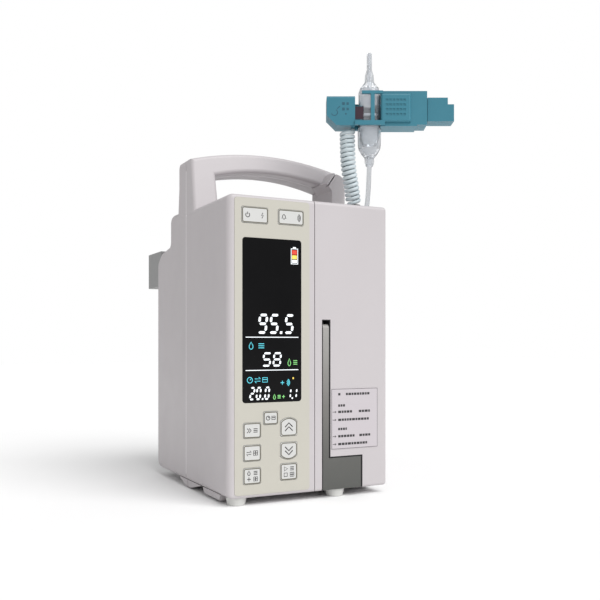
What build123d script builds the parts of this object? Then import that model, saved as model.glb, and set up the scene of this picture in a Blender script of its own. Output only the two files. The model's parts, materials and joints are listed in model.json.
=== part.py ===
from build123d import *
import os
from math import atan2, cos, degrees, pi, radians, sin, tan

# Bench and pole infusion pump. Millimetres.
# The origin is the middle of the base on the surface that the feet stand on.
# +X is to the right of someone facing the front panel, +Y goes to the rear, +Z is up.

# ---------------------------------------------------------------- driving dimensions
BODY_W, BODY_D, BODY_H = 142.0, 180.0, 230.7
FOOT_H, FOOT_R, FOOT_TOE_R = 6.3, 8.2, 6.8
WALL = 3.0
LEFT, RIGHT = -BODY_W / 2, BODY_W / 2
FRONT, REAR = -BODY_D / 2, BODY_D / 2
BASE, TOP = FOOT_H, FOOT_H + BODY_H
SEAM_Y = 5.0                        # where the front and rear housings meet
SEAM_GROOVE = 0.6

# rear of the housing: a high deck behind the handle, then a lower shoulder
HIGH_DECK_Y, HIGH_DECK_Z = 51.0, 213.0
SHOULDER_Y, SHOULDER_Z = 78.5, 208.8
REAR_TOP_Z = 200.0
DECK_RISE = 2.5                     # the deck behind the handle is this much higher
EDGE_R, RIGHT_EDGE_R = 5.2, 2.8

# skids under both sides: (y, z) of each one's outline below the base
SKID_W, SKID_BOTTOM = 11.0, 0.4
SKIDS = (
    ((28.0, 7.0), (8.0, SKID_BOTTOM), (1.0, SKID_BOTTOM), (-28.0, 7.0)),
    ((-32.0, 7.0), (-36.0, 1.8), (-68.0, 1.8), (-71.0, 7.0)),
)

# handle
HANDLE_TOP, HANDLE_END_TOP = 289.3, 279.5
GRIP_UNDER, LEFT_UNDER, RIGHT_UNDER = 273.5, 266.8, 265.0
POST_FOOT_Y, POST_HEAD_Y = (-15.5, 26.0), (-7.0, 23.0)
LEFT_INNER_FOOT, LEFT_INNER_HEAD = -47.8, -49.6
RIGHT_INNER_FOOT, RIGHT_INNER_HEAD = 60.0, 61.0
ARCH_CORNER_R, GRIP_FRONT_R, GRIP_REAR_R, STOP_R = 6.0, 3.0, 4.0, 3.0
POST_SINK = 8.0                     # how far the posts reach down into the housings
# block in front of the right post, mitred against the grip: (x, z) of its face
STOP_BLOCK_FRONT = -23.0
STOP_BLOCK = ((56.5, 225.0), (56.5, 261.0), (51.0, 267.0), (58.0, 277.0), (65.0, 275.0),
              (71.0, 271.0), (71.0, 225.0))
MITRE_GROOVE = 1.2

# front panel and door
DOOR_LEFT, DOOR_GAP = 3.0, 0.3
BAY_Y = -73.7                       # front face of the wall behind the door
DOOR_BACK = BAY_Y - 2 * DOOR_GAP
HINGE_X, HINGE_Y, HINGE_R = RIGHT - 3.5, -77.8, 3.5
HINGE_PIN_R, RUN_CLEARANCE = 1.5, 0.05
HINGE_LUGS = ((26.0, 34.0), (209.0, 217.0))
PANEL = (-65.6, -1.7, 8.6, 234.6)          # membrane: left, right, bottom, top
WINDOW = (-59.2, -9.0, 78.5, 204.5)
PANEL_T, PANEL_PROUD = 0.8, 0.3

# keys: name, left, right, bottom, top, shape
KEYS = (
    ("power_key", -59.7, -37.9, 215.5, 227.7, "plain"),
    ("alarm_key", -29.2, -7.2, 216.0, 227.7, "plain"),
    ("mode_key", -41.7, -29.5, 61.5, 71.5, "plain"),
    ("fast_key", -58.4, -43.9, 51.8, 63.4, "plain"),
    ("select_key", -58.4, -43.9, 34.3, 46.5, "plain"),
    ("drop_rate_key", -58.4, -43.9, 16.8, 29.1, "plain"),
    ("up_key", -27.3, -12.9, 51.9, 66.1, "arch_up"),
    ("down_key", -27.3, -12.9, 33.7, 47.0, "arch_down"),
    ("start_stop_key", -27.3, -12.9, 17.7, 30.6, "plain"),
)
KEY_R, KEY_PROUD, KEY_T, KEY_GAP, KEY_TRAVEL = 1.6, 0.7, 2.2, 0.3, 0.8

# latch lever in the door
LEVER = (10.8, 16.2)                # left and right of the bar
LEVER_TOP, LEVER_R = 139.3, 3.7
LEVER_PIVOT_Y, LEVER_PIVOT_Z = FRONT + 4.2, LEVER_TOP - LEVER_R
LEVER_FOOT_RIGHT, LEVER_FOOT_TOP = 46.2, 31.9
SLOT_TOP, SLOT_GAP, TRAY_T = 142.1, 0.5, 0.7

# a tab of the front housing reaches under the door and carries the front right foot
TAB_X, TAB_T, TAB_GAP, TAB_FRONT = (17.0, 37.0), 1.6, 0.5, FRONT + 2.5

# pumping channel
TUBE_X, TUBE_Y, TUBE_R = 54.0, BAY_Y - 0.3, 2.0
CHANNEL_R = TUBE_R + 0.25
FINGER_COUNT, FINGER_PITCH, FINGER_T, FINGER_W = 12, 7.0, 5.6, 12.6
FINGER_FIRST_Z = 74.0
BUBBLE_Z = (35.0, 53.0)
CAM_Y, CAM_R, CAM_THROW, SHAFT_R = -50.0, 3.6, 0.8, 2.5
CAM_PULLEY_R, MOTOR_PULLEY_R = 10.0, 5.0
MOTOR_X, MOTOR_Y = 25.0, -46.0
BELT_Z = (189.0, 195.0)
TONGUE_Z = (47.0, 195.0)

# drip chamber, its sensor and the tubing
CHAMBER_X, CHAMBER_Y, CHAMBER_R, CHAMBER_LOW_R = 64.6, -73.0, 9.2, 9.8
CHAMBER_Z = (280.5, 342.5)
SPIKE_TOP = 369.0
SENSOR_TURN = -27.1                 # degrees about Z from +X
SOCKET_X, SOCKET_Y = 58.2, -58.2
CURLY_R = 6.7
OUTLET_Z = 11.0                     # where the tube leaves the channel and the free line begins

# coil of patient line behind the pump
COIL_X, COIL_Y = 20.0, 150.0
COIL_INNER, COIL_OUTER, COIL_H = 16.0, 28.0, 12.4

# pole clamp on the rear
CLAMP_Z = (178.5, 212.0)
CLAMP_LEFT, JAW_FACE = -66.0, -54.0
CLAMP_Y = (93.0, 137.0)
POLE_Y = 118.0
CLAMP_ARM = (0.0, 14.0)
SCREW_R = 7.0
CLAMP_BOLT_X = (-38.0, -8.0)


# ---------------------------------------------------------------- helpers
def block(x0, x1, y0, y1, z0, z1):
    middle = Pos((x0 + x1) / 2, (y0 + y1) / 2, (z0 + z1) / 2)
    return middle * Box(x1 - x0, y1 - y0, z1 - z0)


def rod_x(x0, x1, y, z, r):
    return Pos((x0 + x1) / 2, y, z) * Rot(0, 90, 0) * Cylinder(r, x1 - x0)


def rod_y(x, y0, y1, z, r):
    return Pos(x, (y0 + y1) / 2, z) * Rot(90, 0, 0) * Cylinder(r, y1 - y0)


def rod_z(x, y, z0, z1, r):
    return Pos(x, y, (z0 + z1) / 2) * Cylinder(r, z1 - z0)


def rounded_block(x0, x1, y0, y1, z0, z1, r, axis=Axis.Y):
    """A block whose four edges along one axis are rounded."""
    solid = block(x0, x1, y0, y1, z0, z1)
    return fillet(solid.edges().filter_by(axis), r)


def outline_yz(points, radii):
    """A face in the YZ plane whose corners have the given radii; 0 leaves a corner sharp."""
    face = Face(Wire.make_polygon([Vector(0, y, z) for y, z in points], close=True))
    for (y, z), r in zip(points, radii):
        if r:
            corner = face.vertices().sort_by_distance(Vector(0, y, z))[0]
            face = face.fillet_2d(r, [corner])
    return face


def tube(path, outer, inner=0.0):
    """A pipe of outer radius, hollow where inner is given, along a path."""
    plane = Plane(origin=path @ 0, z_dir=path % 0)
    section = plane * Circle(outer)
    if inner:
        section -= plane * Circle(inner)
    return sweep(section, path=path)


def cord_path(points):
    """Straight runs joined by arcs as large as their two runs allow."""
    points = [Vector(*p) for p in points]
    runs = [b - a for a, b in zip(points, points[1:])]
    radii = []
    for before, after in zip(runs, runs[1:]):
        half_turn = radians(before.get_angle(after)) / 2
        radii.append(0.45 * min(before.length, after.length) / tan(half_turn))
    print("  corner radii:", ", ".join(f"{r:.1f}" for r in radii))
    return FilletPolyline(*points, radius=radii)


def keep(name, shape):
    """Write one sub-part."""
    solids = shape.solids()
    body = solids[0] if len(solids) == 1 else Compound(children=list(solids))
    body.label = name
    export_step(body, f"parts/{name}.step")
    return body


# ---------------------------------------------------------------- housings
def body_envelope():
    """The whole outer form of the housings and door, without the handle."""
    deck = TOP + DECK_RISE
    points = [(FRONT, BASE), (REAR, BASE), (REAR, REAR_TOP_Z), (SHOULDER_Y, SHOULDER_Z),
              (HIGH_DECK_Y, HIGH_DECK_Z), (HIGH_DECK_Y, deck), (POST_FOOT_Y[1] - 2, deck),
              (SEAM_Y + 4, TOP), (FRONT, TOP)]
    face = outline_yz(points, (2.2, 8, 9, 9, 4, 8, 0, 0, 3))
    solid = Pos(LEFT, 0, 0) * extrude(face, BODY_W, dir=(1, 0, 0))
    left_end = solid.faces().sort_by(Axis.X)[0]
    solid = fillet(left_end.edges(), EDGE_R)
    top_right = [e for e in solid.faces().sort_by(Axis.X)[-1].edges() if e.center().Z > TOP - 4]
    solid = fillet(top_right, RIGHT_EDGE_R)
    for outline in SKIDS:
        skid = extrude(outline_yz(outline, (0, 0, 0, 0)), SKID_W, dir=(1, 0, 0))
        skid = chamfer(skid.edges().group_by(Axis.Z)[0].filter_by(Axis.Y), 1.0)
        solid += Pos(LEFT + 1.5, 0, 0) * skid
        solid += Pos(RIGHT - 1.5 - SKID_W, 0, 0) * skid
    return solid


def handle():
    """The carry handle: an arched grip on two posts that flare towards their feet."""
    sink = TOP - POST_SINK
    with BuildSketch(Plane.XZ) as arch:
        with BuildLine():
            Line((LEFT, sink), (LEFT, HANDLE_END_TOP))
            ThreePointArc((LEFT, HANDLE_END_TOP), (0, HANDLE_TOP), (RIGHT, HANDLE_END_TOP))
            Line((RIGHT, HANDLE_END_TOP), (RIGHT, sink))
            Line((RIGHT, sink), (RIGHT_INNER_FOOT, sink))
            Line((RIGHT_INNER_FOOT, sink), (RIGHT_INNER_HEAD, RIGHT_UNDER))
            ThreePointArc((RIGHT_INNER_HEAD, RIGHT_UNDER), (0, GRIP_UNDER),
                          (LEFT_INNER_HEAD, LEFT_UNDER))
            Line((LEFT_INNER_HEAD, LEFT_UNDER), (LEFT_INNER_FOOT, sink))
            Line((LEFT_INNER_FOOT, sink), (LEFT, sink))
        make_face()
        outer_corners = arch.vertices().sort_by(Axis.Z)[-2:]
        fillet(outer_corners, ARCH_CORNER_R)
    slab = Pos(0, 50, 0) * extrude(arch.sketch, 100)
    side = outline_yz([(POST_FOOT_Y[0], sink), (POST_FOOT_Y[1], sink),
                       (POST_FOOT_Y[1], TOP - 4), (POST_HEAD_Y[1], TOP + 22),
                       (POST_HEAD_Y[1], HANDLE_TOP + 1), (POST_HEAD_Y[0], HANDLE_TOP + 1)],
                      (0, 0, 6, 12, 0, 0))
    profile = Pos(LEFT - 1, 0, 0) * extrude(side, BODY_W + 2, dir=(1, 0, 0))
    grip = slab & profile
    front = grip.faces().sort_by(Axis.Y)[0]
    grip = fillet([e for e in front.edges() if e.center().Z > TOP], GRIP_FRONT_R)
    rear_top = [e for e in grip.edges() if e.center().Y > POST_HEAD_Y[1] - 0.1
                and e.center().Z > HANDLE_END_TOP - ARCH_CORNER_R and e.length > 5]
    grip = fillet(rear_top, GRIP_REAR_R)
    face = Plane.XZ * make_face(Polyline(*STOP_BLOCK, close=True))
    stop = Pos(0, SEAM_Y, 0) * extrude(face, SEAM_Y - STOP_BLOCK_FRONT)
    stop = fillet(stop.edges().group_by(Axis.Y)[0].sort_by(Axis.X)[-1:], STOP_R)
    (x0, z0), (x1, z1) = STOP_BLOCK[2:4]
    lean = degrees(atan2(z1 - z0, x1 - x0))
    groove = Pos((x0 + x1) / 2 + 2, STOP_BLOCK_FRONT, (z0 + z1) / 2 - 1.4) * Rot(0, -lean, 0)
    groove *= Box(30, 8, MITRE_GROOVE)
    return grip + (stop - groove)


def seam_groove():
    """The shallow groove that runs round the parting line of the two housings."""
    half = SEAM_GROOVE / 2 + 0.1
    ring = block(LEFT - 1, RIGHT + 1, SEAM_Y - half, SEAM_Y + half, 0, HANDLE_TOP + 5)
    d = SEAM_GROOVE
    return ring - block(LEFT + d, RIGHT - d, 0, 30, BASE + d, HANDLE_TOP + 5)


def pillar_places():
    return [(side * 63.5, z) for side in (-1, 1) for z in (26.0, 184.0)]


def front_housing(envelope, bar):
    """Front shell: control panel at the left, a bay for the door at the right."""
    shell = (envelope + bar) & block(-200, 200, -200, SEAM_Y, 0, 400)
    shell -= block(LEFT + WALL, DOOR_LEFT - DOOR_GAP - WALL, FRONT + WALL, SEAM_Y + 1,
                   BASE + WALL, TOP - WALL)
    shell -= block(LEFT + WALL, RIGHT - WALL, BAY_Y + WALL, SEAM_Y + 1, BASE + WALL, TOP - WALL)
    shell -= block(DOOR_LEFT - DOOR_GAP, RIGHT + 5, FRONT - 5, BAY_Y, 0, TOP + 5)
    corner = block(RIGHT - 4, RIGHT + 1, BAY_Y - 1, BAY_Y + 4, 0, TOP + 5)
    shell -= corner - rod_z(RIGHT - 4, BAY_Y + 4, -1, TOP + 6, 4)
    # recess for the membrane, openings for the display and the keys
    left, right, low, high = PANEL
    recess = PANEL_T - PANEL_PROUD
    shell -= rounded_block(left, right, FRONT - 1, FRONT + recess, low, high, 2.5)
    left, right, low, high = WINDOW
    shell -= rounded_block(left, right, FRONT - 1, FRONT + WALL + 1, low, high, 2.5)
    for name, x0, x1, z0, z1, form in KEYS:
        shell -= key_form(x0 - KEY_GAP, x1 + KEY_GAP, z0 - KEY_GAP, z1 + KEY_GAP, form,
                          FRONT - 1, FRONT + WALL + 1)
    # pumping channel: finger window, half-round tube groove, sensor seats
    shell -= block(TUBE_X - 7, TUBE_X + 7, BAY_Y - 1, BAY_Y + WALL + 1, 66, 160)
    shell -= tube_channel()
    shell -= block(TUBE_X - 7.2, TUBE_X + 7.2, BAY_Y - 1, BAY_Y + WALL + 1,
                   BUBBLE_Z[0] - 0.2, BUBBLE_Z[1] + 0.2)
    shell -= rod_y(TUBE_X, BAY_Y - 1, BAY_Y + WALL + 1, 181, 6.5)
    for z in TONGUE_Z:
        shell -= block(8.5, 18, BAY_Y - 1, BAY_Y + WALL + 1, z - 11, z + 13)
    shell -= rod_z(SOCKET_X, SOCKET_Y, TOP - WALL - 1, TOP + 1, 9.5)
    # hinge lugs with their pin bores
    for z0, z1 in HINGE_LUGS:
        lug = rod_z(HINGE_X, HINGE_Y, z0, z1, HINGE_R - 0.2)
        lug += block(HINGE_X - 3.3, HINGE_X + 3.3, HINGE_Y, BAY_Y + 1, z0, z1)
        shell += lug - rod_z(HINGE_X, HINGE_Y, z0 - 1, z1 + 1, HINGE_PIN_R)
    shell += block(*TAB_X, TAB_FRONT, BAY_Y + 1, BASE, BASE + TAB_T)
    # screw pillars reach back to the rear wall
    for x, z in pillar_places():
        side = 1 if x > 0 else -1
        rib = block(min(x, side * 68.5), max(x, side * 68.5), -10, SEAM_Y - 0.5, z - 1, z + 1)
        shell += rod_y(x, -10, REAR - WALL, z, 3.0) + rib
        shell -= rod_y(x, 50, REAR, z, 1.5)
    return shell - seam_groove()


def rear_housing(envelope, bar):
    """Rear shell with the battery bay, the inlet opening and the screw seats."""
    shell = (envelope + bar) & block(-200, 200, SEAM_Y, 200, 0, 400)
    shell -= block(LEFT + WALL, RIGHT - WALL, SEAM_Y - 1, HIGH_DECK_Y - WALL,
                   BASE + WALL, TOP - WALL)
    shell -= block(LEFT + WALL, RIGHT - WALL, SEAM_Y - 1, REAR - WALL,
                   BASE + WALL, REAR_TOP_Z - 5)
    shell -= block(-52, 52, REAR - WALL - 1, REAR + 1, 14, 62)
    shell -= block(26, 56, REAR - WALL - 1, REAR + 1, 76, 100)
    for x, z in pillar_places():
        shell -= rod_y(x, REAR - WALL - 1, REAR + 1, z, 1.5)
        shell -= rod_y(x, REAR - 2, REAR + 1, z, 3.1)
    for x in CLAMP_BOLT_X:
        shell -= rod_y(x, REAR - WALL - 1, REAR + 1, 188, 2.0)
    for row in range(6):
        slot = rounded_block(-50, -18, REAR - WALL - 1, REAR + 1, 78 + 6 * row, 80.4 + 6 * row, 1.1)
        shell -= slot
    return shell - seam_groove()


def rubber_feet():
    places = [(-59.5, -79), (26.5, -80), (-50, 68), (50, 68)]
    feet = []
    for x, y in places:
        foot = Pos(x, y, FOOT_H / 2) * Cone(FOOT_TOE_R, FOOT_R, FOOT_H)
        feet.append(fillet(foot.edges().group_by(Axis.Z)[0], 0.8))
    return Compound(children=feet)


def housing_screws():
    screws = []
    for x, z in pillar_places():
        head = rod_y(x, REAR - 2, REAR - 0.3, z, 3.0) - rod_y(x, REAR - 1.5, REAR, z, 1.3)
        screws.append(head + rod_y(x, 52, REAR - 2, z, 1.5))
    return Compound(children=screws)


# ---------------------------------------------------------------- front panel
def key_form(x0, x1, z0, z1, form, y0, y1):
    """A key's outline in the panel, extruded through y0..y1; an arched side bulges outwards."""
    solid = rounded_block(x0, x1, y0, y1, z0, z1, KEY_R)
    if form == "plain":
        return solid
    width, rise = x1 - x0, 3.0
    arc_r = (width ** 2 / 4 + rise ** 2) / (2 * rise)
    centre_z = z1 - arc_r if form == "arch_up" else z0 + arc_r
    cap = rod_y((x0 + x1) / 2, y0, y1, centre_z, arc_r)
    return solid & cap


def key(x0, x1, z0, z1, form):
    """One key: a pad that stands just proud of the membrane, and the stem behind it."""
    pad = key_form(x0, x1, z0, z1, form, FRONT - KEY_PROUD, FRONT - KEY_PROUD + KEY_T)
    front = pad.faces().sort_by(Axis.Y)[0]
    pad = chamfer(front.edges(), 0.25)
    stem = rod_y((x0 + x1) / 2, FRONT + 1, FRONT + 11.4, (z0 + z1) / 2, 2.0)
    return pad + stem


def keypad_overlay():
    left, right, low, high = PANEL
    sheet = rounded_block(left + 0.1, right - 0.1, FRONT - PANEL_PROUD,
                          FRONT - PANEL_PROUD + PANEL_T, low + 0.1, high - 0.1, 2.4)
    left, right, low, high = WINDOW
    sheet -= rounded_block(left, right, FRONT - 2, FRONT + 2, low, high, 2.5)
    for name, x0, x1, z0, z1, form in KEYS:
        sheet -= key_form(x0 - KEY_GAP, x1 + KEY_GAP, z0 - KEY_GAP, z1 + KEY_GAP, form,
                          FRONT - 2, FRONT + 2)
    return sheet


def display_window():
    left, right, low, high = WINDOW
    return rounded_block(left + 0.1, right - 0.1, FRONT - PANEL_PROUD - 0.1, FRONT + 1.4,
                         low + 0.1, high - 0.1, 2.4)


def lcd_module():
    left, right, low, high = WINDOW
    return block(left - 2, right + 2, FRONT + WALL + 0.2, FRONT + 10, low - 2, high + 2)


def keypad_board():
    return block(-63, -5, FRONT + 12.5, FRONT + 14.1, 14, 229)


# ---------------------------------------------------------------- door
def door_shell(envelope):
    """The door's outer moulding: a tray open to the rear, thick along its hinge side."""
    door = envelope & block(DOOR_LEFT + DOOR_GAP, 200, -200, DOOR_BACK, 0, 400)
    door -= block(DOOR_LEFT + DOOR_GAP + WALL, 61.7, FRONT + WALL, DOOR_BACK + 1,
                  BASE + WALL, TOP - WALL)
    corner = block(HINGE_X, RIGHT + 1, HINGE_Y, DOOR_BACK + 1, 0, TOP + 5)
    door -= corner - rod_z(HINGE_X, HINGE_Y, -1, TOP + 6, HINGE_R)
    for z0, z1 in HINGE_LUGS:
        door -= block(59, RIGHT + 1, HINGE_Y - 6.7, DOOR_BACK + 1, z0 - 0.5, z1 + 0.5)
        door -= rod_z(HINGE_X, HINGE_Y, z0 - 9, z1 + 9, HINGE_PIN_R + RUN_CLEARANCE)
    door -= lever_recess(TRAY_T)
    door -= tube_channel() + tab_notch()
    door -= block(TUBE_X + 3, HINGE_X - 2, TUBE_Y - 2.8, BAY_Y, 214, TOP + 1)
    door -= bubble_recess()
    door -= rod_x(DOOR_LEFT + 3, LEVER[1] + 3, LEVER_PIVOT_Y, LEVER_PIVOT_Z, HINGE_PIN_R)
    return door


def tab_notch():
    """Room for the housing's foot tab in the bottom edge of the door and the lever."""
    return block(TAB_X[0] - 4 * TAB_GAP, TAB_X[1] + TAB_GAP, TAB_FRONT - 2 * TAB_GAP, BAY_Y,
                 BASE - 1, BASE + TAB_T + TAB_GAP)


def bubble_recess():
    """Room in the door for the bubble sensor, wide enough for the door's swing."""
    return block(TUBE_X - 9, TUBE_X + 9, BAY_Y - 3, DOOR_BACK + 1, BUBBLE_Z[0] - 0.2,
                 BUBBLE_Z[1] + 0.2)


def lever_recess(grow):
    """The L-shaped hollow for the lever, grown by the thickness of its lining."""
    left = LEVER[0] - SLOT_GAP - grow
    bar = block(left, LEVER[1] + SLOT_GAP + grow, FRONT - 1, FRONT + 9.3 + grow,
                BASE - 1, SLOT_TOP + grow)
    foot = block(left, LEVER_FOOT_RIGHT + SLOT_GAP + grow, FRONT - 1, FRONT + 6.3 + grow,
                 BASE - 1, LEVER_FOOT_TOP + SLOT_GAP + grow)
    return bar + foot


def lever_tray():
    """Dark lining of the lever's recess."""
    lining = lever_recess(TRAY_T) - lever_recess(0)
    lining &= block(-100, 100, FRONT + 0.4, FRONT + 20, BASE + 0.5, TOP)
    lining -= tab_notch()
    return lining - rod_x(DOOR_LEFT, LEVER[1] + 5, LEVER_PIVOT_Y, LEVER_PIVOT_Z, HINGE_PIN_R)


def latch_lever():
    """The door's long lever: a bar on a pivot at its top and a broad foot to pull on."""
    x0, x1 = LEVER
    y0, y1 = LEVER_PIVOT_Y - LEVER_R, LEVER_PIVOT_Y + LEVER_R
    bar = block(x0, x1, y0, y1, BASE + 0.3, LEVER_PIVOT_Z)
    bar += rod_x(x0, x1, LEVER_PIVOT_Y, LEVER_PIVOT_Z, LEVER_R)
    foot = block(x0, LEVER_FOOT_RIGHT, y0, y0 + 5.2, BASE + 0.3, LEVER_FOOT_TOP)
    lever = bar + foot - tab_notch()
    return lever - rod_x(x0 - 1, x1 + 1, LEVER_PIVOT_Y, LEVER_PIVOT_Z, HINGE_PIN_R + RUN_CLEARANCE)


def latch_bar():
    """Sliding strip behind the lever, with two tongues that enter the keepers."""
    bar = block(10.4, 15.4, -79.3, -77.4, 24, 214)
    for z in TONGUE_Z:
        bar += block(11.4, 14.4, -77.5, -66.5, z - 5, z + 5)
    return bar


def latch_keepers():
    plates = []
    for z in TONGUE_Z:
        plate = block(3, 23, BAY_Y + WALL, BAY_Y + WALL + 1.5, z - 17, z + 19)
        plates.append(plate - block(9, 17.5, BAY_Y, BAY_Y + 10, z - 10, z + 12))
    return Compound(children=plates)


def door_liner():
    """The door's inner panel, with openings for the tongues, the platen and the sensors."""
    liner = block(6.5, 61.5, -77.0, DOOR_BACK, BASE + WALL + 0.2, TOP - WALL - 0.2)
    for z in TONGUE_Z:
        liner -= block(9.5, 16.5, -78, DOOR_BACK + 1, z - 8, z + 14)
    liner -= block(TUBE_X - 6.8, TUBE_X + 6.8, -78, DOOR_BACK + 1, 68, 158)
    return liner - bubble_recess() - tube_channel()


PLATEN_FACE = TUBE_Y - TUBE_R - 0.3


def platen():
    """Spring-loaded plate in the door that backs the tube against the fingers."""
    plate = block(TUBE_X - 6.4, TUBE_X + 6.4, PLATEN_FACE - 4.0, PLATEN_FACE, 68.5, 157.5)
    edges = plate.faces().sort_by(Axis.Y)[-1].edges()
    return chamfer(edges, 0.6)


def platen_springs():
    """Compression springs between the door's front wall and the platen."""
    coils = []
    back, face = FRONT + WALL, PLATEN_FACE - 4.0
    for z in (84, 113, 142):
        path = Helix(pitch=1.75, height=face - back - 1.0, radius=3.0)
        plane = Plane(origin=path @ 0, z_dir=path % 0)
        wire = sweep(plane * Circle(0.4), path=path, is_frenet=True)
        coils.append(Pos(TUBE_X, back + 0.5, z) * Rot(-90, 0, 0) * wire)
    return Compound(children=coils)


def door_label():
    return rounded_block(18, 61.8, FRONT - 0.3, FRONT, 38.7, 87.4, 1.0)


def hinge_pins():
    return Compound(children=[rod_z(HINGE_X, HINGE_Y, z0 - 8, z1 + 8, HINGE_PIN_R)
                              for z0, z1 in HINGE_LUGS])


# ---------------------------------------------------------------- pumping mechanism
def finger_heights():
    return [FINGER_FIRST_Z + FINGER_PITCH * i for i in range(FINGER_COUNT)]


def mechanism_plate():
    """Cast frame that carries the fingers and the camshaft's two bearings."""
    y0 = BAY_Y + WALL + 0.3
    plate = block(26, 66.5, y0, y0 + 4, 58, 186)
    plate -= block(TUBE_X - 6.6, TUBE_X + 6.6, y0 - 1, y0 + 5, 67, 159)
    for z in (60, 166):
        ear = block(TUBE_X - 11, TUBE_X + 11, y0 + 3, CAM_Y + 9, z, z + 6)
        plate += ear - rod_z(TUBE_X, CAM_Y, z - 1, z + 7, 6.5)
    return plate - rod_y(TUBE_X, y0 - 1, y0 + 5, 181, 5.2)


def shaft_bearings():
    rings = []
    for z in (60, 166):
        ring = rod_z(TUBE_X, CAM_Y, z + 0.5, z + 5.5, 6.5)
        rings.append(ring - rod_z(TUBE_X, CAM_Y, z, z + 6, SHAFT_R + RUN_CLEARANCE))
    return Compound(children=rings)


def camshaft():
    """Shaft with one round cam for each finger, each turned 30 degrees from the last."""
    shaft = rod_z(TUBE_X, CAM_Y, 57, BELT_Z[1] + 3, SHAFT_R)
    for i, z in enumerate(finger_heights()):
        turn = 2 * pi * i / FINGER_COUNT
        x, y = TUBE_X + CAM_THROW * cos(turn), CAM_Y + CAM_THROW * sin(turn)
        shaft += rod_z(x, y, z - FINGER_T / 2, z + FINGER_T / 2, CAM_R)
    return shaft


def pump_fingers():
    """Flat pushers side by side: each has a round window for its cam and a blunt tip."""
    fingers = []
    tip, back = TUBE_Y + TUBE_R + 0.3, CAM_Y + 6.5
    for z in finger_heights():
        finger = block(TUBE_X - FINGER_W / 2, TUBE_X + FINGER_W / 2, tip, back,
                       z - FINGER_T / 2, z + FINGER_T / 2)
        window = CAM_R + CAM_THROW + 0.25
        fingers.append(finger - rod_z(TUBE_X, CAM_Y, z - 5, z + 5, window))
    return Compound(children=fingers)


def toothed_pulley(x, y, r, bore, teeth):
    """Belt pulley with flanges; teeth are half-round grooves."""
    z0, z1 = BELT_Z
    wheel = rod_z(x, y, z0, z1, r)
    for i in range(teeth):
        a = 2 * pi * i / teeth
        wheel -= rod_z(x + r * cos(a), y + r * sin(a), z0 - 1, z1 + 1, 0.55)
    wheel += rod_z(x, y, z0 - 1, z0, r + 1.2) + rod_z(x, y, z1, z1 + 1, r + 1.2)
    return wheel - rod_z(x, y, z0 - 2, z1 + 2, bore)


def motor_pulley():
    wheel = toothed_pulley(MOTOR_X, MOTOR_Y, MOTOR_PULLEY_R, 1.5, 14)
    return wheel + rod_z(MOTOR_X, MOTOR_Y, 176, BELT_Z[1] + 2, 2.5)


def timing_belt():
    """Flat belt round both pulleys, a hair clear of their teeth."""
    gap, thick = 0.25, 1.0

    def loop(grow):
        a = Pos(TUBE_X, CAM_Y) * Circle(CAM_PULLEY_R + grow)
        b = Pos(MOTOR_X, MOTOR_Y) * Circle(MOTOR_PULLEY_R + grow)
        return make_hull((a + b).edges())

    band = loop(gap + thick) - loop(gap)
    return Pos(0, 0, BELT_Z[0] + 0.3) * extrude(band, BELT_Z[1] - BELT_Z[0] - 0.6)


def stepper_motor():
    half = 17.5
    can = block(MOTOR_X - half, MOTOR_X + half, MOTOR_Y - half, MOTOR_Y + half, 148, 184)
    can = chamfer(can.edges().filter_by(Axis.Z), 3)
    return can - rod_z(MOTOR_X, MOTOR_Y, 175, 185, 2.5 + RUN_CLEARANCE)


def bubble_sensor():
    """Ultrasonic block with a slot that the tube is pressed into."""
    low, high = BUBBLE_Z
    body = block(TUBE_X - 7, TUBE_X + 7, BAY_Y - 2.4, BAY_Y + 14, low, high)
    slot = block(TUBE_X - 2.2, TUBE_X + 2.2, BAY_Y - 3, TUBE_Y, low - 1, high + 1)
    return body - slot - rod_z(TUBE_X, TUBE_Y, low - 1, high + 1, 2.2)


def pressure_sensor():
    button = rod_y(TUBE_X, TUBE_Y + TUBE_R + 0.2, BAY_Y + WALL, 181, 6.4)
    return button + rod_y(TUBE_X, BAY_Y + WALL, BAY_Y + WALL + 10, 181, 5.0)


# ---------------------------------------------------------------- electronics and power
def main_board():
    return block(-64, 56, -20, -18.4, 20, 226)


def power_board():
    return block(-60, 58, 22, 23.6, 20, 170) + block(-20, 20, 23.5, 48, 110, 150)


def battery_pack():
    return rounded_block(-49, 49, 50, 86, 16, 60, 4, Axis.X)


def battery_cover():
    cover = block(-51.7, 51.7, REAR - WALL, REAR + 0.3, 14.3, 61.7)
    for i in range(5):
        cover -= block(-12, 12, REAR - 0.5, REAR + 1, 52 + 1.8 * i, 52.9 + 1.8 * i)
    return cover


def mains_inlet():
    """Flanged three-pole appliance inlet."""
    body = block(26.2, 55.8, 64, REAR + 0.1, 76.2, 99.8) + block(23, 59, REAR, REAR + 1.6, 73, 103)
    body -= block(28.5, 53.5, 74, REAR + 3, 79, 97)
    for x, z in ((34, 86), (48, 86), (41, 91)):
        body += block(x - 1, x + 1, 73, 86, z - 2, z + 2)
    return body


def sensor_socket():
    """Round recessed socket in the top of the front housing."""
    floor = TOP - 18.5
    cup = rod_z(SOCKET_X, SOCKET_Y, floor, TOP, 9.5)
    cup += rod_z(SOCKET_X, SOCKET_Y, TOP, TOP + 1, 9.9)
    return cup - rod_z(SOCKET_X, SOCKET_Y, floor + 3, TOP + 2, 7.7)


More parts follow.
